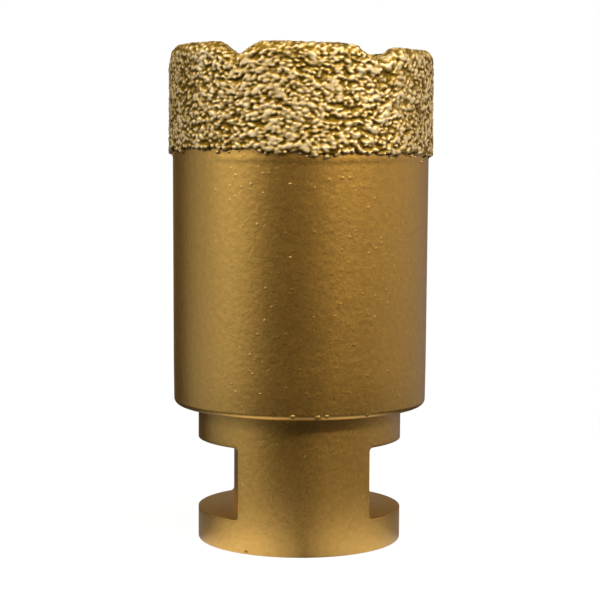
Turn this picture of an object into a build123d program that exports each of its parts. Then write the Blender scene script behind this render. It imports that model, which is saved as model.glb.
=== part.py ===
"""A vacuum-brazed diamond core bit with a female M14 shank, in millimetres.

+Z is the spindle axis, from the seat face at z = 0 up to the cutting rim. The origin is the centre
of the seat face, and the two wrench flats face +X and -X.

Three pieces are brazed into one tool: a steel tube (barrel), the turned and milled adapter that
closes its lower end (threaded_shank), and the diamond-bearing braze layer that wraps the tube's rim
outside, on top and inside, and runs down into its waterways (diamond_crown).
"""

from build123d import *
import os

# Overall sizes
CROWN_DIAMETER = 35.0  # over the diamond layer, which is the size of the hole it drills
OVERALL_HEIGHT = 65.8

# Diamond layer, braze full of grit
SIDE_COATING = 0.65  # its thickness on the outside of the tube and in the waterways
RIM_COATING = 1.4  # on the rim, where it is built up
BORE_COATING = 0.5  # inside the tube
OUTER_BAND = 14.6  # how far the layer runs down the outside from the rim
INNER_BAND = 10.0  # how far it runs down the inside
FEATHER = 1.0  # length over which each lower edge of the layer thins to nothing
CROWN_OUTER_ROUND = 1.2  # corners of the layer's rim
CROWN_INNER_ROUND = 0.9

# Waterways, the notches in the rim
WATERWAYS = 6
WATERWAY_WIDTH = 7.0  # where the flanks would meet the rim
WATERWAY_DEPTH = 2.5  # where the flanks would meet each other
WATERWAY_ROOT_ROUND = 1.2
WATERWAY_SHOULDER_ROUND = 1.8

# Barrel
BARREL_WALL = 1.8
BARREL_BASE_CHAMFER = 0.6  # outer edge of the lower end

# Joint between the barrel and the shank
HEAD_THICKNESS = 4.0  # disc of the shank that closes the barrel
HEAD_STEP = 0.5  # depth of the counterbore's step, which the disc bears on
BRAZE_GAP = 0.05  # radial, filled by braze

# Shank
SHANK_DIAMETER = 27.0
FLANGE_HEIGHT = 4.3  # round land below the wrench flats
FLATS_HEIGHT = 9.4
COLLAR_HEIGHT = 4.5  # round land between the flats and the barrel
ACROSS_FLATS = 17.0
FLATS_ROOT_ROUND = 0.4
LAND_EDGE_CHAMFER = 0.25  # edges of the lands beside the flats
SEAT_EDGE_CHAMFER = 0.3

# Thread, M14 x 2, drawn as its tapping hole
THREAD_DIAMETER = 14.0
THREAD_PITCH = 2.0
THREAD_ENTRY = 0.3  # radial margin of the countersinks over the thread

# Sizes that follow
TAPPING_RADIUS = (THREAD_DIAMETER - THREAD_PITCH) / 2
ENTRY_RADIUS = THREAD_DIAMETER / 2 + THREAD_ENTRY
CROWN_RADIUS = CROWN_DIAMETER / 2
BARREL_RADIUS = CROWN_RADIUS - SIDE_COATING
BARREL_BORE = BARREL_RADIUS - BARREL_WALL
CROWN_BORE = BARREL_BORE - BORE_COATING
HEAD_SEAT_BORE = BARREL_BORE + HEAD_STEP
HEAD_RADIUS = HEAD_SEAT_BORE - BRAZE_GAP
SHANK_RADIUS = SHANK_DIAMETER / 2
FLATS_TOP = FLANGE_HEIGHT + FLATS_HEIGHT
BARREL_BASE = FLATS_TOP + COLLAR_HEIGHT
HEAD_TOP = BARREL_BASE + HEAD_THICKNESS
STEEL_RIM = OVERALL_HEIGHT - RIM_COATING


def turned(*outline):
    """The face between the given (radius, height) points and their closing line, for revolving."""
    return make_face(Plane.XZ * Polyline(*outline, close=True))


def at(face, radius, height):
    """The corner of a turned face nearest to a radius and height."""
    return face.vertices().sort_by_distance((radius, 0, height))[0]


def waterway_outline(clearance=0.0):
    """The cut in front of the rim, seen along its radius: a rounded V under an open top.

    With a clearance the outline grows evenly, which gives the cut in the steel under the layer.
    """
    half = WATERWAY_WIDTH / 2
    reach = half + WATERWAY_SHOULDER_ROUND
    open_top = OVERALL_HEIGHT + 2 * RIM_COATING
    outline = Polyline(
        (-reach, open_top),
        (-reach, OVERALL_HEIGHT),
        (-half, OVERALL_HEIGHT),
        (0, OVERALL_HEIGHT - WATERWAY_DEPTH),
        (half, OVERALL_HEIGHT),
        (reach, OVERALL_HEIGHT),
        (reach, open_top),
        close=True,
    )
    face = make_face(outline)
    root = face.vertices().sort_by(Axis.Y)[0]
    face = fillet(root, WATERWAY_ROOT_ROUND)
    shoulders = [face.vertices().sort_by_distance((x, OVERALL_HEIGHT))[0] for x in (-half, half)]
    face = fillet(shoulders, WATERWAY_SHOULDER_ROUND)
    return offset(face, clearance) if clearance else face


def waterways(clearance=0.0):
    """One radial cut through the wall of the tube for each waterway, the first one over +X."""
    inside = CROWN_BORE / 2
    profile = Plane.YZ.offset(inside) * waterway_outline(clearance)
    cut = extrude(profile, CROWN_RADIUS + SIDE_COATING - inside)
    return [Rot(Z=360 / WATERWAYS * k) * cut for k in range(WATERWAYS)]


def barrel():
    """The tube, with a counterbore for the shank's head and the waterways cut in its rim."""
    section = turned(
        (HEAD_SEAT_BORE, BARREL_BASE),
        (BARREL_RADIUS, BARREL_BASE),
        (BARREL_RADIUS, STEEL_RIM),
        (BARREL_BORE, STEEL_RIM),
        (BARREL_BORE, HEAD_TOP),
        (HEAD_SEAT_BORE, HEAD_TOP),
    )
    section = chamfer(at(section, BARREL_RADIUS, BARREL_BASE), BARREL_BASE_CHAMFER)
    return revolve(section, Axis.Z) - waterways(SIDE_COATING)


def diamond_crown(tube):
    """The layer on the rim of the tube: a blank of its outer form, less the tube and the waterways."""
    outer_end = OVERALL_HEIGHT - OUTER_BAND
    inner_end = OVERALL_HEIGHT - INNER_BAND
    section = turned(
        (BARREL_RADIUS, outer_end),
        (CROWN_RADIUS, outer_end + FEATHER),
        (CROWN_RADIUS, OVERALL_HEIGHT),
        (CROWN_BORE, OVERALL_HEIGHT),
        (CROWN_BORE, inner_end + FEATHER),
        (BARREL_BORE, inner_end),
    )
    section = fillet(at(section, CROWN_RADIUS, OVERALL_HEIGHT), CROWN_OUTER_ROUND)
    section = fillet(at(section, CROWN_BORE, OVERALL_HEIGHT), CROWN_INNER_ROUND)
    return revolve(section, Axis.Z) - tube - waterways()


def threaded_shank():
    """The adapter: a flange, two wrench flats, a collar and the head, on one tapped axis."""
    section = turned(
        (TAPPING_RADIUS, ENTRY_RADIUS - TAPPING_RADIUS),
        (ENTRY_RADIUS, 0),
        (SHANK_RADIUS, 0),
        (SHANK_RADIUS, BARREL_BASE),
        (HEAD_RADIUS, BARREL_BASE),
        (HEAD_RADIUS, HEAD_TOP),
        (ENTRY_RADIUS, HEAD_TOP),
        (TAPPING_RADIUS, HEAD_TOP - (ENTRY_RADIUS - TAPPING_RADIUS)),
    )
    section = chamfer(at(section, SHANK_RADIUS, 0), SEAT_EDGE_CHAMFER)
    shank = revolve(section, Axis.Z) - wrench_cuts()
    lands = [
        edge
        for edge in shank.edges().filter_by(GeomType.CIRCLE)
        if abs(edge.radius - SHANK_RADIUS) < 1e-3
        and min(abs(edge.center().Z - height) for height in (FLANGE_HEIGHT, FLATS_TOP)) < 1e-3
    ]
    return chamfer(lands, LAND_EDGE_CHAMFER)


def wrench_cuts():
    """The two blocks that milling takes away, on +X and -X, with a rounded root at each end."""
    depth = SHANK_DIAMETER
    block = Pos(ACROSS_FLATS / 2, 0, FLANGE_HEIGHT) * Box(
        depth, SHANK_DIAMETER * 1.5, FLATS_HEIGHT, align=(Align.MIN, Align.CENTER, Align.MIN)
    )
    roots = block.faces().sort_by(Axis.X)[0].edges().filter_by(Axis.Y)
    block = fillet(roots, FLATS_ROOT_ROUND)
    return [block, Rot(Z=180) * block]


def main():
    """Writes one STEP file for each piece."""
    os.makedirs("parts", exist_ok=True)
    tube = barrel()
    pieces = {
        "barrel": tube,
        "diamond_crown": diamond_crown(tube),
        "threaded_shank": threaded_shank(),
    }
    for name, piece in pieces.items():
        export_step(piece, f"parts/{name}.step")


main()
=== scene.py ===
"""The diamond core bit's visual model, in metres, in the CAD's own frame."""
import math

import bmesh
import bpy
import numpy as np
from mathutils import Matrix, Vector

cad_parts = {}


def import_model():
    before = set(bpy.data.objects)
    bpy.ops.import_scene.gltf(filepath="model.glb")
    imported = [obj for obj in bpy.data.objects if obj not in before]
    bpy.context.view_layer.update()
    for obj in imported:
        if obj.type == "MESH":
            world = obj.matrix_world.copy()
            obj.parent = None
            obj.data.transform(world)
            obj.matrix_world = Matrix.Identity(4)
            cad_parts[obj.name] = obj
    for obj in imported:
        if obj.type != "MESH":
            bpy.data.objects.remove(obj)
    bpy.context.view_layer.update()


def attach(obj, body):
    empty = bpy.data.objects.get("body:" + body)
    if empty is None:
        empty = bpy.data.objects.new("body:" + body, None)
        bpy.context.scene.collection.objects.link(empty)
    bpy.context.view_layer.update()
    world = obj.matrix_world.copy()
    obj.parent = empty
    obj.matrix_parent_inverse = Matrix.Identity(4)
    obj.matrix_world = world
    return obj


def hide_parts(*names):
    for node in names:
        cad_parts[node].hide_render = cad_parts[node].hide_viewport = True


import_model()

MM = 0.001

# Sizes in mm, as the CAD has them
CROWN_R = 17.5
BARREL_R = 16.85
BARREL_BORE = 15.05
TOP = 65.8
BARREL_BASE = 18.2
HEAD_TOP = 22.2
SHANK_R = 13.5
HEAD_R = 15.5
FLANGE = 4.3
FLATS_TOP = 13.7
HALF_FLATS = 8.5
TAP_R = 6.0
THREAD_R = 7.0
PITCH = 2.0

# Sizes in mm that only the visual model has
GRIT_R, GRIT_BORE = 17.2, 14.85  # the smooth base that the grit stands on
GRIT_MEAN_R = 17.3
RIM_ROUND, BORE_ROUND = 1.25, 0.9
BAND_LENGTH = 14.0
LEAD = 0.8  # mesh below the band's edge, inside the steel
INNER_LENGTH, INNER_END = 9.5, 55.4
BACK_TOP, BACK_FOOT = 61.4, 50.2  # the crown's hidden back, inside the steel
CELL = 0.14
FOOT_ROUND, FOOT_IN = 0.78, 0.1
CLEAR = 0.02
EDGE_ROUND, EDGE_BEVEL, FLAT_ROUND = 0.35, 0.22, 0.45
SUPPORT = 0.45  # rings this far from the flats' ends keep the shading even
BEAD_IN = 0.6


# ---------------------------------------------------------------- mesh helpers
def link_object(name, data):
    """A new object in the scene."""
    obj = bpy.data.objects.new(name, data)
    bpy.context.scene.collection.objects.link(obj)
    return obj


def mesh_object(name, verts, faces, smooth=True):
    """An object from vertices in mm and quads or triangles, as numpy arrays."""
    mesh = bpy.data.meshes.new(name)
    verts = np.asarray(verts, dtype=np.float32) * MM
    faces = np.asarray(faces, dtype=np.int32)
    count, size = faces.shape
    mesh.vertices.add(len(verts))
    mesh.vertices.foreach_set("co", verts.ravel())
    mesh.loops.add(count * size)
    mesh.loops.foreach_set("vertex_index", faces.ravel())
    mesh.polygons.add(count)
    mesh.polygons.foreach_set("loop_start", np.arange(0, count * size, size, dtype=np.int32))
    mesh.polygons.foreach_set("use_smooth", np.full(count, smooth))
    mesh.update(calc_edges=True)
    mesh.validate()
    return link_object(name, mesh)


def ring_faces(rows, columns):
    """Quads of a grid of rows x columns vertices that closes on itself both ways."""
    i, j = np.meshgrid(np.arange(rows), np.arange(columns), indexing="ij")
    a = i * columns + j
    b = i * columns + (j + 1) % columns
    c = (i + 1) % rows * columns + (j + 1) % columns
    d = (i + 1) % rows * columns + j
    return np.stack([a, b, c, d], axis=-1).reshape(-1, 4)


def arc(cx, cz, radius, start, end, steps):
    """Points of a circular arc in the (radius, height) plane, angles in degrees."""
    t = np.radians(np.linspace(start, end, steps + 1))
    return [(cx + radius * math.cos(v), cz + radius * math.sin(v)) for v in t]


def lathe(name, outline, steps):
    """A closed solid of revolution from a closed outline of (radius, height), listed anticlockwise."""
    outline = np.array(outline)
    turn = np.arange(steps) * 2 * math.pi / steps
    r = outline[:, 0][:, None]
    z = np.repeat(outline[:, 1][:, None], steps, axis=1)
    verts = np.stack([r * np.cos(turn), r * np.sin(turn), z], axis=-1).reshape(-1, 3)
    return mesh_object(name, verts, ring_faces(len(outline), steps))


def set_relief(obj, values):
    """Stores at each vertex how near it is to the top of a lump, which the grit's material reads to paint a highlight
    on the tops and shade in the gaps.
    """
    layer = obj.data.attributes.new("relief", "FLOAT", "POINT")
    layer.data.foreach_set("value", np.asarray(values, dtype=np.float32))


def finish_piece(obj, slot, material, *nodes):
    """Puts a piece on the one body, with its material and the CAD nodes that it stands for."""
    obj.data.materials.clear()
    obj.data.materials.append(material)
    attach(obj, "root")
    if nodes:
        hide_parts(*nodes)
    return obj


# ---------------------------------------------------------------- crown
def wrap(angle):
    """An angle in degrees brought to -180 to 180."""
    return (angle + 180) % 360 - 180


def around(azimuth, points):
    """Smooth periodic values through (azimuth, value) points, azimuth in degrees from the front to +X."""
    points = sorted(points)
    a = np.array([p[0] for p in points], float)
    v = np.array([p[1] for p in points], float)
    fine = np.arange(-180, 180, 1.0)
    raw = np.interp(fine, np.concatenate([a - 360, a, a + 360]), np.tile(v, 3))
    kernel = np.hanning(37)
    kernel /= kernel.sum()
    soft = np.convolve(np.tile(raw, 3), kernel, "same")[360:720]
    return np.interp(wrap(azimuth), np.append(fine, 180), np.append(soft, soft[0]))


# Heights of the rim and of the band's lower edge by azimuth, and the waterways' azimuths and depths.
# Only the front shows in the photograph, so the values at the sides and back are guesses.
RIM = [(-180, 65.2), (-90, 65.3), (-40, 65.6), (0, 65.4), (50, 64.8), (120, 64.8)]
BAND = [(-180, 51.3), (-90, 51.5), (-50, 52.1), (0, 51.6), (60, 51.2), (120, 51.1)]
NOTCHES = [(-32, 1.65), (32, 1.75), (90, 1.8), (150, 1.8), (-150, 1.8), (-90, 1.8)]


def notch_depth(azimuth):
    """How far the rim dips at an azimuth, over all waterways."""
    dip = np.zeros_like(azimuth)
    slope, root, shoulder, reach = 0.7, 0.5, 0.3, 8
    for centre, depth in NOTCHES:
        u = np.radians(wrap(azimuth - centre)) * GRIT_MEAN_R
        v = depth + root - np.sqrt((slope * u) ** 2 + root**2)
        dip = np.maximum(dip, 0.5 * (v + np.sqrt(v * v + shoulder**2)) * (np.abs(u) < reach))
    return dip


def smooth_step(x):
    """0 up to 0, 1 from 1 on, and a smooth rise between."""
    x = np.clip(x, 0, 1)
    return x * x * (3 - 2 * x)


def value_noise(shape, cells, seed):
    """Smooth noise of about -1 to 1 on a grid that closes along its first axis."""
    gen = np.random.default_rng(seed)
    n0, n1 = cells
    table = gen.uniform(-1, 1, (n0, n1 + 2))
    x = np.arange(shape[0]) / shape[0] * n0
    y = np.linspace(0, n1, shape[1])
    i, j = x.astype(int) % n0, np.minimum(y.astype(int), n1)
    fx, fy = smooth_step(x - x.astype(int))[:, None], smooth_step(y - j)[None, :]
    a = table[i][:, j]
    b = table[(i + 1) % n0][:, j]
    c = table[i][:, j + 1]
    d = table[(i + 1) % n0][:, j + 1]
    return (a * (1 - fx) + b * fx) * (1 - fy) + (c * (1 - fx) + d * fx) * fy


def grit(shape, step, seed):
    """Relief of braze-covered grit on a grid (turn x length), in mm, with the grid's steps in mm.

    Small domes of uneven height crowd together and melt where they touch. Long low gaps run round between them.
    """
    gen = np.random.default_rng(seed)
    rows, columns = shape
    width, height = rows * step[0], columns * step[1]
    spacing, down = 0.72, 0.49
    stray, missing, large = 0.42, 0.06, 0.16
    count = int(round(width / spacing))
    across = width / count
    grains = []
    for n in range(int(height / down) + 3):
        for k in range(count):
            if gen.uniform() < missing:
                continue
            size = gen.uniform(1.25, 1.65) if gen.uniform() < large else gen.uniform(0.72, 1.12)
            grains.append((
                (k + 0.5 * (n % 2) + gen.uniform(-stray, stray)) * across,
                (n - 1 + gen.uniform(-stray, stray)) * down,
                0.53 * size * gen.uniform(0.85, 1.2),
                0.315 * size,
                gen.normal(0, 0.55),
                gen.uniform(0.22, 0.44),
            ))
    sharp = 38.0
    total = np.zeros(shape)
    for u, v, a, b, turn, tall in grains:
        reach = max(a, b) * 1.02
        i = np.arange(math.floor((u - reach) / step[0]), math.ceil((u + reach) / step[0]) + 1)
        first, last = math.floor((v - reach) / step[1]), math.ceil((v + reach) / step[1])
        j = np.arange(max(first, 0), min(last, columns - 1) + 1)
        if not len(j):
            continue
        x = (i * step[0] - u)[:, None]
        y = (j * step[1] - v)[None, :]
        ct, st = math.cos(turn), math.sin(turn)
        dome = np.clip(1 - ((x * ct + y * st) / a) ** 2 - ((y * ct - x * st) / b) ** 2, 0, 1) ** 0.75
        total[np.ix_(i % rows, j)] += np.expm1(sharp * tall * dome)
    relief = np.log1p(total) / sharp
    lanes = value_noise(shape, (int(width / 1.5), int(height / 0.5)), seed + 1)
    lanes += 0.6 * value_noise(shape, (int(width / 0.7), int(height / 0.45)), seed + 2)
    return relief * (0.4 + 0.6 * smooth_step((lanes + 0.9) / 0.5))


def crest(relief):
    """How near each point is to the top of its own lump, 0 to 1."""
    peak = relief
    for axis in (0, 1):
        peak = np.max([np.roll(peak, k, axis) for k in (-2, -1, 0, 1, 2)], axis=0)
    return np.clip(relief / np.maximum(peak, 0.02), 0, 1) * smooth_step(peak / 0.18)


def crown(name, steps_round, cell):
    """The grit layer as one closed ring: outside wall, rim, inside wall, and a back hidden in the steel."""
    azimuth = wrap(np.arange(steps_round) * 360.0 / steps_round)
    dip = notch_depth(azimuth)
    rim = around(azimuth, RIM) - dip
    low = around(azimuth, BAND)
    outer, inner = GRIT_R, GRIT_BORE
    corner_out, corner_in = RIM_ROUND, BORE_ROUND
    wall_rows = int(round((BAND_LENGTH + LEAD) / cell))
    corner_rows = int(round(corner_out * math.pi / 2 / cell))
    land_rows = 2
    corner2_rows = int(round(corner_in * math.pi / 2 / (cell * 1.3)))  # coarser towards the bore
    inner_rows = int(round(INNER_LENGTH / (cell * 3.3)))
    r_rows, z_rows = [], []
    start = low - LEAD
    top = rim - corner_out
    for k in range(wall_rows + 1):
        t = k / wall_rows
        r_rows.append(np.full(steps_round, outer))
        z_rows.append(start + (top - start) * t)
    for k in range(1, corner_rows + 1):
        t = math.pi / 2 * k / corner_rows
        r_rows.append(np.full(steps_round, outer - corner_out + corner_out * math.cos(t)))
        z_rows.append(top + corner_out * math.sin(t))
    for k in range(1, land_rows + 1):
        t = k / land_rows
        r_rows.append(np.full(steps_round, (outer - corner_out) * (1 - t) + (inner + corner_in) * t))
        z_rows.append(rim.copy())
    for k in range(1, corner2_rows + 1):
        t = math.pi / 2 * k / corner2_rows
        r_rows.append(np.full(steps_round, inner + corner_in - corner_in * math.sin(t)))
        z_rows.append(rim - corner_in + corner_in * math.cos(t))
    for k in range(1, inner_rows + 1):
        t = k / inner_rows
        r_rows.append(np.full(steps_round, inner))
        z_rows.append((rim - corner_in) * (1 - t) + INNER_END * t)
    r = np.array(r_rows)
    z = np.array(z_rows)
    rows = len(r)
    turn = np.radians(azimuth - 90)
    base = np.stack([r * np.cos(turn), r * np.sin(turn), z], axis=-1)
    # relief on an even grid, read at each vertex's length along the section from a level floor
    pieces = np.hypot(np.diff(r, axis=0), np.diff(z, axis=0))
    length = np.concatenate([np.zeros((1, steps_round)), np.cumsum(pieces, axis=0)])
    place = length + (start - start.min())[None, :]
    fine = (steps_round, int(round(place.max() / cell)) + 2)
    step = (2 * math.pi * GRIT_MEAN_R / steps_round, cell)
    relief = grit(fine, step, 7)
    relief += 0.03 * value_noise(fine, (150, int(fine[1] * cell / 0.7)), 3)
    relief += 0.035 * value_noise(fine, (300, int(fine[1] * cell / 0.33)), 4)
    # top_share sets where the grit's material paints a highlight on the crests and shade in the gaps
    top_share = crest(relief)
    swell = value_noise(fine, (34, int(fine[1] * cell / 3.2)), 5)
    j = np.minimum((place / cell).astype(int), fine[1] - 2)
    f = place / cell - j
    column = np.broadcast_to(np.arange(steps_round), j.shape)
    relief = relief[column, j] * (1 - f) + relief[column, j + 1] * f
    swell = swell[column, j] * (1 - f) + swell[column, j + 1] * f
    top_share = top_share[column, j] * (1 - f) + top_share[column, j + 1] * f
    # flatter round the sides and back, thinner over the rim and inside, and gone at the band's ragged lower edge
    over = np.clip((length - length[wall_rows]) / (corner_out * math.pi / 2), 0, 1)
    calm = 1 - 0.35 * smooth_step((np.abs(azimuth) - 35) / 25)
    relief = relief.mean() + (relief - relief.mean()) * calm[None, :]
    relief = 0.92 * relief * (1 - 0.55 * over) * (1 + 0.12 * swell)
    ragged = 0.32 * value_noise((steps_round, 2), (70, 1), 11)[:, 0]
    ragged = ragged + 0.16 * value_noise((steps_round, 2), (190, 1), 12)[:, 0]
    above = z - (low + ragged)[None, :] + 1.3 * (np.minimum(relief, 0.3) - 0.17)
    is_outer = (np.arange(rows) <= wall_rows)[:, None]
    fade = np.where(is_outer, smooth_step((above + 0.15) / 0.5), 1.0)
    is_inner = np.arange(rows)[:, None] > wall_rows + corner_rows + 3
    lower_in = np.where(is_inner, smooth_step((z - INNER_END) / 1.2), 1.0)
    film = 0.04 * swell
    # normals of the base
    d_turn = np.roll(base, -1, axis=1) - np.roll(base, 1, axis=1)
    d_row = np.gradient(base, axis=0)
    normal = np.cross(d_turn, d_row)
    normal /= np.linalg.norm(normal, axis=2, keepdims=True)
    raise_by = relief * fade * lower_in + film * fade
    sink = np.where(is_outer, 0.42 * (1 - fade), 0) + np.where(is_outer, 0, 0.5 * (1 - lower_in))
    point = base + normal * (raise_by - sink)[..., None]
    radius = np.hypot(point[..., 0], point[..., 1])
    squeeze = np.minimum(1, (CROWN_R - 0.01) / radius)
    point[..., :2] *= squeeze[..., None]
    point[..., 2] = np.minimum(point[..., 2], TOP - 0.02)
    # the hidden back
    back_in, back_out = BARREL_BORE + 0.35, BARREL_R - 0.5
    back = [(back_in, INNER_END), (back_in, BACK_TOP), (back_out, BACK_TOP), (back_out, BACK_FOOT)]
    extra = np.array([[(br * math.cos(a), br * math.sin(a), bz) for a in turn] for br, bz in back])
    verts = np.concatenate([point, extra])
    obj = mesh_object(name, verts.reshape(-1, 3), ring_faces(len(verts), steps_round))
    # painted light: this share paints the crests pale and the gaps dark, with the rim and inside a little darker
    painted_light_share = np.concatenate([top_share * (1 - 0.25 * over), np.zeros((len(back), steps_round))])
    set_relief(obj, painted_light_share.ravel())
    return obj


# ---------------------------------------------------------------- materials
def new_material(name):
    """An empty material with one Principled shader."""
    material = bpy.data.materials.new(name)
    material.use_nodes = True
    nodes, links = material.node_tree.nodes, material.node_tree.links
    nodes.clear()
    out = nodes.new("ShaderNodeOutputMaterial")
    shader = nodes.new("ShaderNodeBsdfPrincipled")
    links.new(shader.outputs[0], out.inputs[0])
    return material, nodes, links, shader


def noise(nodes, links, vector, scale, detail, rough):
    """Noise of about 0 to 1 from a Noise Texture node."""
    node = nodes.new("ShaderNodeTexNoise")
    node.inputs["Scale"].default_value = scale
    node.inputs["Detail"].default_value = detail
    node.inputs["Roughness"].default_value = rough
    links.new(vector, node.inputs["Vector"])
    return node.outputs[0]


def ramp(nodes, links, value, stops):
    """A colour ramp through (place, colour) stops."""
    node = nodes.new("ShaderNodeValToRGB")
    while len(node.color_ramp.elements) < len(stops):
        node.color_ramp.elements.new(0.5)
    for element, (place, colour) in zip(node.color_ramp.elements, stops):
        element.position = place
        element.color = (*colour, 1)
    links.new(value, node.inputs[0])
    return node.outputs[0]


def math_node(nodes, links, operation, a, b):
    """One Math node over two numbers or sockets."""
    node = nodes.new("ShaderNodeMath")
    node.operation = operation
    for socket, value in zip(node.inputs, (a, b)):
        if isinstance(value, (int, float)):
            socket.default_value = value
        else:
            links.new(value, socket)
    return node.outputs[0]


def span(nodes, links, value, low, high, to_low, to_high):
    """A value's range brought to another range, and held at its ends."""
    node = nodes.new("ShaderNodeMapRange")
    node.clamp = True
    links.new(value, node.inputs["Value"])
    for key, number in (("From Min", low), ("From Max", high), ("To Min", to_low), ("To Max", to_high)):
        node.inputs[key].default_value = number
    return node.outputs[0]


def blend_colours(nodes, links, factor, a, b):
    """Colour a at 0 and b at 1, each a tuple or a socket."""
    node = nodes.new("ShaderNodeMix")
    node.data_type = "RGBA"
    sockets = {s.identifier: s for s in node.inputs}
    links.new(factor, sockets["Factor_Float"])
    for socket, value in ((sockets["A_Color"], a), (sockets["B_Color"], b)):
        if isinstance(value, tuple):
            socket.default_value = (*value, 1)
        else:
            links.new(value, socket)
    return [s for s in node.outputs if s.identifier == "Result_Color"][0]


def gold_blasted(name, base, offset, worn):
    """Satin gold over fine-blasted steel: speckled colour and roughness, tiny bright grains, fine bump.

    Each worn place (azimuth, radius, height and reach in mm) has more of the bright grains. The offset, in metres,
    gives each piece its own stretch of the pattern.
    """
    material, nodes, links, shader = new_material(name)
    coords = nodes.new("ShaderNodeTexCoord").outputs["Object"]
    shift = nodes.new("ShaderNodeMapping")
    shift.inputs["Location"].default_value = (offset, offset * 0.7, offset * 0.3)
    links.new(coords, shift.inputs[0])
    vector = shift.outputs[0]
    cloud = noise(nodes, links, vector, 90, 4, 0.6)
    wave = noise(nodes, links, vector, 1350, 3, 0.5)
    speck = noise(nodes, links, vector, 6000, 2, 0.6)
    low = tuple(c * 0.9 for c in base)
    high = tuple(min(1, c * 1.08) for c in base)
    tone = math_node(nodes, links, "ADD", math_node(nodes, links, "MULTIPLY", wave, 0.55),
                     math_node(nodes, links, "MULTIPLY", speck, 0.45))
    # small bright grains, thicker in some patches than in others
    cells = nodes.new("ShaderNodeTexVoronoi")
    cells.inputs["Scale"].default_value = 1150
    links.new(vector, cells.inputs["Vector"])
    dot = span(nodes, links, cells.outputs["Distance"], 0.08, 0.27, 1, 0)
    patch = span(nodes, links, noise(nodes, links, vector, 200, 3, 0.7), 0.4, 0.6, 0.45, -0.15)
    for azimuth, radius, height, reach in worn:
        a = math.radians(azimuth - 90)
        away = nodes.new("ShaderNodeVectorMath")
        away.operation = "DISTANCE"
        links.new(coords, away.inputs[0])
        away.inputs[1].default_value = (radius * math.cos(a) * MM, radius * math.sin(a) * MM, height * MM)
        near = span(nodes, links, away.outputs["Value"], 0.35 * reach * MM, reach * MM, -0.35, 0)
        patch = math_node(nodes, links, "ADD", patch, near)
    split = nodes.new("ShaderNodeSeparateXYZ")
    links.new(cells.outputs["Color"], split.inputs[0])
    chosen = math_node(nodes, links, "ADD", split.outputs["X"], math_node(nodes, links, "MULTIPLY", patch, -1))
    dot = math_node(nodes, links, "MULTIPLY", dot, span(nodes, links, chosen, 0.62, 0.8, 0, 1))
    colour = blend_colours(nodes, links, math_node(nodes, links, "MULTIPLY", dot, 0.6),
                           ramp(nodes, links, tone, [(0.35, low), (0.65, high)]),
                           tuple(min(1, c * k) for c, k in zip(base, (1.25, 1.45, 2.2))))
    links.new(colour, shader.inputs["Base Color"])
    shader.inputs["Metallic"].default_value = 1.0
    rough = math_node(nodes, links, "ADD", span(nodes, links, cloud, 0.3, 0.7, 0.335, 0.355),
                      span(nodes, links, speck, 0.3, 0.7, -0.04, 0.04))
    links.new(rough, shader.inputs["Roughness"])
    height = math_node(nodes, links, "ADD", wave, math_node(nodes, links, "MULTIPLY", speck, 0.1))
    height = math_node(nodes, links, "ADD", height, math_node(nodes, links, "MULTIPLY", dot, 0.55))
    bump = nodes.new("ShaderNodeBump")
    bump.inputs["Strength"].default_value = 1.0
    bump.inputs["Distance"].default_value = 0.00003
    links.new(height, bump.inputs["Height"])
    links.new(bump.outputs[0], shader.inputs["Normal"])
    return material


def gold_grit(name):
    """Satin braze over grit, with painted light: a pale painted highlight on the lumps, and dark olive painted shade
    in the gaps between them.
    """
    material, nodes, links, shader = new_material(name)
    relief = nodes.new("ShaderNodeAttribute")
    relief.attribute_name = "relief"
    coords = nodes.new("ShaderNodeTexCoord").outputs["Object"]
    fine = noise(nodes, links, coords, 1600, 3, 0.6)
    broad = noise(nodes, links, coords, 260, 2, 0.5)
    level = math_node(nodes, links, "ADD", relief.outputs["Fac"], span(nodes, links, broad, 0.3, 0.7, -0.08, 0.08))
    # the ramp paints light: painted shade in the gaps, the braze's gold on the slopes, and a painted highlight on the
    # crests
    colour = ramp(nodes, links, level, [(0.25, GRIT_PAINTED_SHADE), (0.6, GRIT_SLOPE), (0.93, GRIT_PAINTED_HIGHLIGHT)])
    links.new(colour, shader.inputs["Base Color"])
    links.new(span(nodes, links, level, 0.3, 0.8, 0.95, 0.62), shader.inputs["Metallic"])
    rough = math_node(nodes, links, "ADD", span(nodes, links, level, 0.1, 0.8, 0.6, 0.55),
                      span(nodes, links, fine, 0.3, 0.7, -0.05, 0.05))
    links.new(rough, shader.inputs["Roughness"])
    bump = nodes.new("ShaderNodeBump")
    bump.inputs["Strength"].default_value = 0.5
    bump.inputs["Distance"].default_value = 0.00008
    links.new(fine, bump.inputs["Height"])
    links.new(bump.outputs[0], shader.inputs["Normal"])
    return material


GOLD = (0.62, 0.365, 0.086)
# grit ramp colours: painted shade in the gaps, the braze's gold on the slopes, and a painted highlight on the crests
GRIT_PAINTED_SHADE, GRIT_SLOPE, GRIT_PAINTED_HIGHLIGHT = (0.12, 0.072, 0.007), (0.31, 0.212, 0.06), (0.56, 0.47, 0.3)
BARREL_WORN = [(-25, BARREL_R, 23.5, 7), (-24, BARREL_R, 46, 6), (150, BARREL_R, 30, 8)]
SHANK_WORN = [(-22, SHANK_R, 15.8, 2.6), (-30, SHANK_R, 12, 2), (160, SHANK_R, 9, 4)]
body_gold = gold_blasted("body_gold", GOLD, 0.0, BARREL_WORN)
shank_gold = gold_blasted("shank_gold", GOLD, 0.013, SHANK_WORN)
grit_gold = gold_grit("grit_gold")

# ---------------------------------------------------------------- pieces
crown_piece = crown("grit_crown", 640, CELL)
finish_piece(crown_piece, "gold_grit", grit_gold, "diamond_crown")

foot_centre = BARREL_R - FOOT_IN - FOOT_ROUND
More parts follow.
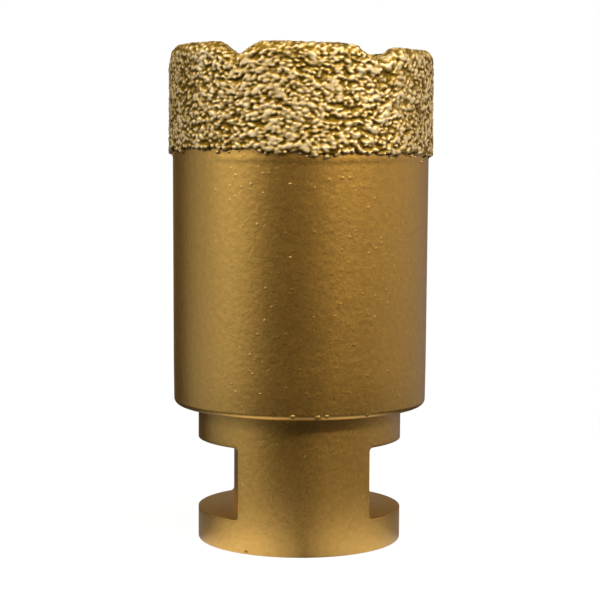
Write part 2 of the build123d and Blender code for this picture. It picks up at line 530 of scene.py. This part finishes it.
# the wall swells by a few hundredths of a mm, and the coating starts with a low lip at the band's edge
barrel_outline = (
    [(HEAD_R + CLEAR, BARREL_BASE), (foot_centre, BARREL_BASE)]
    + arc(foot_centre, BARREL_BASE + FOOT_ROUND, FOOT_ROUND, -85, 0, 10)
    + [(BARREL_R - 0.04, 24.0), (BARREL_R, 35.0), (BARREL_R + 0.04, 47.0), (BARREL_R + 0.05, 50.2),
       (BARREL_R + 0.05, 50.65), (BARREL_R + 0.085, 50.95), (BARREL_R + 0.05, 51.35), (BARREL_R + 0.05, 51.8),
       (BARREL_R + 0.05, 53.0), (BARREL_R, 62.0),
       (BARREL_BORE, 62.0), (BARREL_BORE, 45.0), (BARREL_BORE, 30.0), (BARREL_BORE, HEAD_TOP),
       (HEAD_R + CLEAR, HEAD_TOP)]
)
tube = lathe("barrel_tube", barrel_outline, 288)
finish_piece(tube, "gold_body", body_gold, "barrel")


def beads(name, places):
    """Small round beads as one mesh, each given by azimuth, height, radius, its size and how far it stands in."""
    bm = bmesh.new()
    for azimuth, z, r, size, squash in places:
        a = math.radians(azimuth - 90)
        centre = Vector((r * math.cos(a), r * math.sin(a), z)) * MM
        shape = Matrix.Translation(centre) @ Matrix.Rotation(a, 4, "Z") @ Matrix.Diagonal((squash, 1.15, 0.9, 1))
        bmesh.ops.create_icosphere(bm, subdivisions=2, radius=size * MM, matrix=shape)
    mesh = bpy.data.meshes.new(name)
    for face in bm.faces:
        face.smooth = True
    bm.to_mesh(mesh)
    bm.free()
    return link_object(name, mesh)


def finish_beads(obj, relief):
    """Gives beads one tone of the grit's material all over, read from its ramp between painted gap shade and painted
    crest highlight.
    """
    set_relief(obj, np.full(len(obj.data.vertices), relief))
    finish_piece(obj, "gold_grit", grit_gold)


# stray grit just below the band
gen = np.random.default_rng(21)
places = [(-41.2, 51.75, BARREL_R + 0.12, 0.3, 0.9), (63.7, 50.5, BARREL_R + 0.05, 0.2, 0.9)]
for _ in range(18):
    at, size = gen.uniform(-180, 180), gen.uniform(0.12, 0.19)
    z = float(around(np.array([at]), BAND)[0]) - gen.uniform(0.1, 0.5)
    places.append((at, z, BARREL_R + 0.04 + 0.3 * size, size, 0.9))
finish_beads(beads("stray_grit", places), 0.75)

# spatter on the tube
places = [(-21.5, 50.0, 0.17), (-7.8, 47.9, 0.19), (-7.5, 38.8, 0.16), (-19.3, 46.8, 0.14), (-25.4, 47.2, 0.15)]
places += [(-24, 24.1, 0.14), (-30, 27.3, 0.12), (-20.5, 21.6, 0.13), (-34, 22.6, 0.12), (12, 31.5, 0.1)]
places += [(gen.uniform(110, 250), gen.uniform(20, 50), gen.uniform(0.1, 0.17)) for _ in range(16)]
finish_beads(beads("spatter", [(at, z, BARREL_R + 0.02, size, 0.4) for at, z, size in places]), 0.62)

# beads of braze on the barrel's lower edge, and one on the flange's
bead_z = BARREL_BASE + BEAD_IN
places = [
    (-6.2, bead_z, BARREL_R - 0.3, 0.4, 0.7),
    (4.6, bead_z - 0.1, BARREL_R - 0.34, 0.48, 0.65),
    (8.6, bead_z, BARREL_R - 0.26, 0.34, 0.7),
    (27.6, bead_z, BARREL_R - 0.32, 0.4, 0.6),
    (118, bead_z, BARREL_R - 0.32, 0.42, 0.6),
    (-141, bead_z, BARREL_R - 0.3, 0.38, 0.7),
    (-33.4, 0.5, SHANK_R - 0.2, 0.34, 0.85),
]
finish_beads(beads("braze_beads", places), 0.42)


def sharpen(obj, degrees):
    """Smooth shading with edges over the angle kept sharp."""
    bm = bmesh.new()
    bm.from_mesh(obj.data)
    limit = math.radians(degrees)
    for edge in bm.edges:
        edge.smooth = not (len(edge.link_faces) == 2 and edge.calc_face_angle(0) > limit)
    for face in bm.faces:
        face.smooth = True
    bm.to_mesh(obj.data)
    bm.free()


sharpen(tube, 35)


def block_cut(side):
    """The cutter of one wrench flat, rounded where its floor meets the lands."""
    r, reach = FLAT_ROUND, 20
    pts = [(reach, FLANGE)] + arc(HALF_FLATS + r, FLANGE + r, r, -90, -180, 5)
    pts += arc(HALF_FLATS + r, FLATS_TOP - r, r, 180, 90, 5) + [(reach, FLATS_TOP)]
    pts = [(x * side, z) for x, z in pts]
    n = len(pts)
    verts = [(x, -reach, z) for x, z in pts] + [(x, reach, z) for x, z in pts]
    mesh = bpy.data.meshes.new("cut")
    faces = [tuple(range(n)), tuple(range(2 * n - 1, n - 1, -1))]
    faces += [(k, k + n, (k + 1) % n + n, (k + 1) % n) for k in range(n)]
    mesh.from_pydata([tuple(c * MM for c in v) for v in verts], [], faces)
    bm = bmesh.new()
    bm.from_mesh(mesh)
    bmesh.ops.recalc_face_normals(bm, faces=bm.faces)
    bm.to_mesh(mesh)
    bm.free()
    return link_object("cut", mesh)


def apply_modifiers(obj):
    """Puts the object's modifiers into its mesh."""
    graph = bpy.context.evaluated_depsgraph_get()
    graph.update()
    mesh = bpy.data.meshes.new_from_object(obj.evaluated_get(graph))
    obj.modifiers.clear()
    obj.data = mesh


entry = THREAD_R + 0.3
ring_heights = (FLANGE * 0.5, FLANGE - SUPPORT, FLANGE + SUPPORT, 9.0, FLATS_TOP - SUPPORT, FLATS_TOP + SUPPORT, 16.0)
shank_outline = (
    [(THREAD_R + CLEAR, entry - THREAD_R), (entry, 0.0), (SHANK_R - EDGE_ROUND, 0.0)]
    + arc(SHANK_R - EDGE_ROUND, EDGE_ROUND, EDGE_ROUND, -80, 0, 5)
    + [(SHANK_R, z) for z in ring_heights]
    + [(SHANK_R, BARREL_BASE + 0.01), (HEAD_R, BARREL_BASE + 0.01)]
    + [(HEAD_R, HEAD_TOP), (entry, HEAD_TOP), (THREAD_R + CLEAR, HEAD_TOP - (entry - THREAD_R))]
)
shank = lathe("shank_body", shank_outline, 180)
cuts = [block_cut(1), block_cut(-1)]
for cut in cuts:
    modifier = shank.modifiers.new("flat", "BOOLEAN")
    modifier.operation = "DIFFERENCE"
    modifier.solver = "EXACT"
    modifier.object = cut
apply_modifiers(shank)
for cut in cuts:
    bpy.data.objects.remove(cut)
bevel = shank.modifiers.new("edges", "BEVEL")
bevel.width = EDGE_BEVEL * MM
bevel.segments = 3
bevel.limit_method = "ANGLE"
bevel.angle_limit = math.radians(50)
bevel.use_clamp_overlap = True
apply_modifiers(shank)
sharpen(shank, 38)
finish_piece(shank, "gold_shank", shank_gold, "threaded_shank")


def thread_ring():
    """The M14 x 2 thread as one closed ridge that winds right-handed along the bore."""
    steps = 72
    inset, margin, sunk = 0.9, 0.35, 0.25
    foot, tip = PITCH * 0.44, PITCH * 0.13
    first, last = inset, HEAD_TOP - inset
    turns = (last - first) / PITCH
    count = int(turns * steps)
    verts = []
    for k in range(count + 1):
        t = k / count
        angle = 2 * math.pi * turns * t
        z = first + (last - first) * t
        fade = min(1, 8 * t, 8 * (1 - t))
        top = THREAD_R - (THREAD_R - TAP_R - CLEAR) * fade
        for r, dz in ((THREAD_R + sunk, -foot), (top, -tip), (top, tip), (THREAD_R + sunk, foot)):
            height = min(max(z + dz, margin), HEAD_TOP - margin)
            verts.append((r * math.cos(angle), r * math.sin(angle), height))
    faces = []
    for k in range(count):
        for i in range(4):
            a, b = k * 4 + i, k * 4 + (i + 1) % 4
            faces.append((a, b, b + 4, a + 4))
    obj = mesh_object("spindle_thread", verts, faces, False)
    bm = bmesh.new()
    bm.from_mesh(obj.data)
    bmesh.ops.holes_fill(bm, edges=[e for e in bm.edges if e.is_boundary], sides=4)
    bmesh.ops.recalc_face_normals(bm, faces=bm.faces)
    bm.to_mesh(obj.data)
    bm.free()
    return obj


thread = thread_ring()
sharpen(thread, 30)
finish_piece(thread, "gold_shank", shank_gold)

# ---------------------------------------------------------------- camera
# The photograph's camera, as a fit to its outlines gave it: pixels, mm and radians
PICTURE_PX, FOCAL_PX = 600, 1897.1
DISTANCE, EYE = 251.82, 55.58
PITCH_DOWN, ROLL, AZIMUTH = 0.0937, 0.0051, math.radians(3.3)
SENSOR = 36
camera_data = bpy.data.cameras.new("camera")
camera = link_object("camera", camera_data)
camera_data.sensor_fit = "HORIZONTAL"
camera_data.sensor_width = SENSOR
camera_data.lens = FOCAL_PX * SENSOR / PICTURE_PX
camera_data.clip_start = 0.01
camera_data.clip_end = 20
camera.location = (-DISTANCE * MM * math.sin(AZIMUTH), -DISTANCE * MM * math.cos(AZIMUTH), EYE * MM)
look = Matrix.Rotation(-AZIMUTH, 4, "Z") @ Matrix.Rotation(math.pi / 2 - PITCH_DOWN, 4, "X")
look = look @ Matrix.Rotation(ROLL, 4, "Z")
camera.rotation_euler = look.to_euler()
bpy.context.scene.camera = camera

# ---------------------------------------------------------------- floor, world and lamps
bpy.context.scene.view_settings.view_transform = "Standard"

# Walls that the metal reflects, dark with soft panels: azimuth, degrees at full and to nothing, and tone
HIGH_WALL = (0.1, 0.07, 0.02)
HIGH_PANELS = [(-60, 0, 30, (1.4, 1.4, 1.4)), (75, 15, 75, (0.75, 0.65, 0.5))]
LOW_WALL = (0.03, 0.02, 0.02)
LOW_PANELS = [(-90, 5, 45, (0.6, 0.65, 0.8)), (115, 10, 60, (0.4, 0.4, 0.5))]
TOP_TONE = (0.35, 0.35, 0.35)
BEHIND = 0.2  # how much of the white background the metal shows straight behind the object
# Pool of light on the floor: tones near and far, radii in mm, strength at the front, and two brighter sides
# with their azimuth, degrees at full and to nothing, and strength
POOL_TONE, POOL_FAR = (0.9, 0.9, 1.05), (0.08, 0.08, 0.08)
POOL_EDGE, POOL_END = 23, 38
POOL_BASE = 0.25
POOL_LEFT, POOL_RIGHT = (-45, 5, 45, 1.25), (45, 5, 45, 1.0)
# Lamps: name, azimuth, elevation, distance, width and height in metres, and power
WARM = (1.0, 0.9, 0.75)
LAMP_TARGET = (0, 0, 0.04)
LAMPS = [
    ("key", 0, 48, 0.7, 0.3, 0.2, 2.5),
    ("side_key", 37, 32, 0.7, 0.2, 0.07, 5.0),
    ("left_top", -70, 44, 0.6, 0.5, 0.5, 5.0),
    ("right_top", 75, 44, 0.6, 0.5, 0.5, 3.0),
]


def lobe(nodes, links, direction, azimuth, full, none):
    """1 within the first number of degrees from an azimuth, and 0 past the second, seen from above."""
    flat = nodes.new("ShaderNodeVectorMath")
    flat.operation = "MULTIPLY"
    flat.inputs[1].default_value = (1, 1, 0)
    links.new(direction, flat.inputs[0])
    unit = nodes.new("ShaderNodeVectorMath")
    unit.operation = "NORMALIZE"
    links.new(flat.outputs[0], unit.inputs[0])
    towards = nodes.new("ShaderNodeVectorMath")
    towards.operation = "DOT_PRODUCT"
    a = math.radians(azimuth)
    towards.inputs[1].default_value = (math.sin(a), -math.cos(a), 0)
    links.new(unit.outputs[0], towards.inputs[0])
    cosine = [math.cos(math.radians(d)) for d in (none, full)]
    return span(nodes, links, towards.outputs["Value"], *cosine, 0, 1)


def floor():
    """White for the camera, with the shadow; to the metal, a pool of light that fades away from the object."""
    bpy.ops.mesh.primitive_plane_add(size=6)
    plane = bpy.context.object
    plane.name = "floor"
    plane.location = (0, 0, -0.00002)
    material = bpy.data.materials.new("floor_white")
    material.use_nodes = True
    nodes, links = material.node_tree.nodes, material.node_tree.links
    nodes.clear()
    out = nodes.new("ShaderNodeOutputMaterial")
    lit = nodes.new("ShaderNodeBsdfDiffuse")
    lit.inputs["Color"].default_value = (0.8, 0.8, 0.8, 1)
    white = nodes.new("ShaderNodeEmission")
    pool = nodes.new("ShaderNodeEmission")
    shown = nodes.new("ShaderNodeMixShader")
    mix = nodes.new("ShaderNodeMixShader")
    path = nodes.new("ShaderNodeLightPath")
    coords = nodes.new("ShaderNodeTexCoord").outputs["Object"]
    length = nodes.new("ShaderNodeVectorMath")
    length.operation = "LENGTH"
    links.new(coords, length.inputs[0])
    distance = length.outputs["Value"]
    links.new(span(nodes, links, distance, 0.03, 0.12, 0.93, 1.0), shown.inputs[0])
    links.new(lit.outputs[0], shown.inputs[1])
    links.new(white.outputs[0], shown.inputs[2])
    near = span(nodes, links, distance, POOL_EDGE * MM, POOL_END * MM, 1, 0)
    links.new(blend_colours(nodes, links, near, POOL_FAR, POOL_TONE), pool.inputs["Color"])
    left = lobe(nodes, links, coords, *POOL_LEFT[:3])
    right = lobe(nodes, links, coords, *POOL_RIGHT[:3])
    sides = math_node(nodes, links, "ADD", span(nodes, links, left, 0, 1, POOL_BASE, POOL_LEFT[3]),
                      span(nodes, links, right, 0, 1, 0, POOL_RIGHT[3] - POOL_BASE))
    links.new(sides, pool.inputs["Strength"])
    clear = nodes.new("ShaderNodeBsdfTransparent")
    rest = nodes.new("ShaderNodeMixShader")
    links.new(span(nodes, links, distance, POOL_END * MM, 2 * POOL_END * MM, 0, 1), rest.inputs[0])
    links.new(pool.outputs[0], rest.inputs[1])
    links.new(clear.outputs[0], rest.inputs[2])
    links.new(path.outputs["Is Camera Ray"], mix.inputs[0])
    links.new(rest.outputs[0], mix.inputs[1])
    links.new(shown.outputs[0], mix.inputs[2])
    links.new(mix.outputs[0], out.inputs[0])
    plane.data.materials.append(material)


def world():
    """White for the camera and straight behind the object, and a soft room for everything else."""
    scene_world = bpy.data.worlds.new("studio")
    bpy.context.scene.world = scene_world
    scene_world.use_nodes = True
    nodes, links = scene_world.node_tree.nodes, scene_world.node_tree.links
    nodes.clear()
    out = nodes.new("ShaderNodeOutputWorld")
    room = nodes.new("ShaderNodeBackground")
    white = nodes.new("ShaderNodeBackground")
    mix = nodes.new("ShaderNodeMixShader")
    path = nodes.new("ShaderNodeLightPath")
    direction = nodes.new("ShaderNodeTexCoord").outputs["Generated"]
    split = nodes.new("ShaderNodeSeparateXYZ")
    links.new(direction, split.inputs[0])
    behind = span(nodes, links, split.outputs["Y"], 0.93, 0.99, 0, BEHIND)
    glossy = math_node(nodes, links, "ADD", path.outputs["Is Glossy Ray"], path.outputs["Is Transmission Ray"])
    seen = math_node(nodes, links, "MULTIPLY", glossy, behind)
    fac = math_node(nodes, links, "ADD", path.outputs["Is Camera Ray"], seen)
    low_wall, high_wall = LOW_WALL, HIGH_WALL
    for azimuth, full, none, colour in LOW_PANELS:
        low_wall = blend_colours(nodes, links, lobe(nodes, links, direction, azimuth, full, none), low_wall, colour)
    for azimuth, full, none, colour in HIGH_PANELS:
        high_wall = blend_colours(nodes, links, lobe(nodes, links, direction, azimuth, full, none), high_wall, colour)
    walls = blend_colours(nodes, links, span(nodes, links, split.outputs["Z"], -0.16, 0.24, 0, 1), low_wall, high_wall)
    high = span(nodes, links, split.outputs["Z"], 0.5, 0.85, 0, 1)
    links.new(blend_colours(nodes, links, high, walls, TOP_TONE), room.inputs["Color"])
    links.new(span(nodes, links, split.outputs["Z"], -0.45, -0.1, 0.1, 1.0), room.inputs["Strength"])
    white.inputs["Color"].default_value = (1, 1, 1, 1)
    links.new(fac, mix.inputs[0])
    links.new(room.outputs[0], mix.inputs[1])
    links.new(white.outputs[0], mix.inputs[2])
    links.new(mix.outputs[0], out.inputs[0])


def area(name, azimuth, elevation, distance, width, height, power):
    """A soft warm lamp that faces the object, azimuth in degrees from the front to +X."""
    data = bpy.data.lights.new(name, "AREA")
    data.shape = "RECTANGLE"
    data.size, data.size_y = width, height
    data.energy = power
    data.color = WARM
    lamp = link_object(name, data)
    a, e = math.radians(azimuth), math.radians(elevation)
    towards = Vector((math.sin(a) * math.cos(e), -math.cos(a) * math.cos(e), math.sin(e)))
    lamp.location = towards * distance + Vector(LAMP_TARGET)
    lamp.rotation_euler = towards.to_track_quat("Z", "Y").to_euler()


floor()
world()
for lamp in LAMPS:
    area(*lamp)
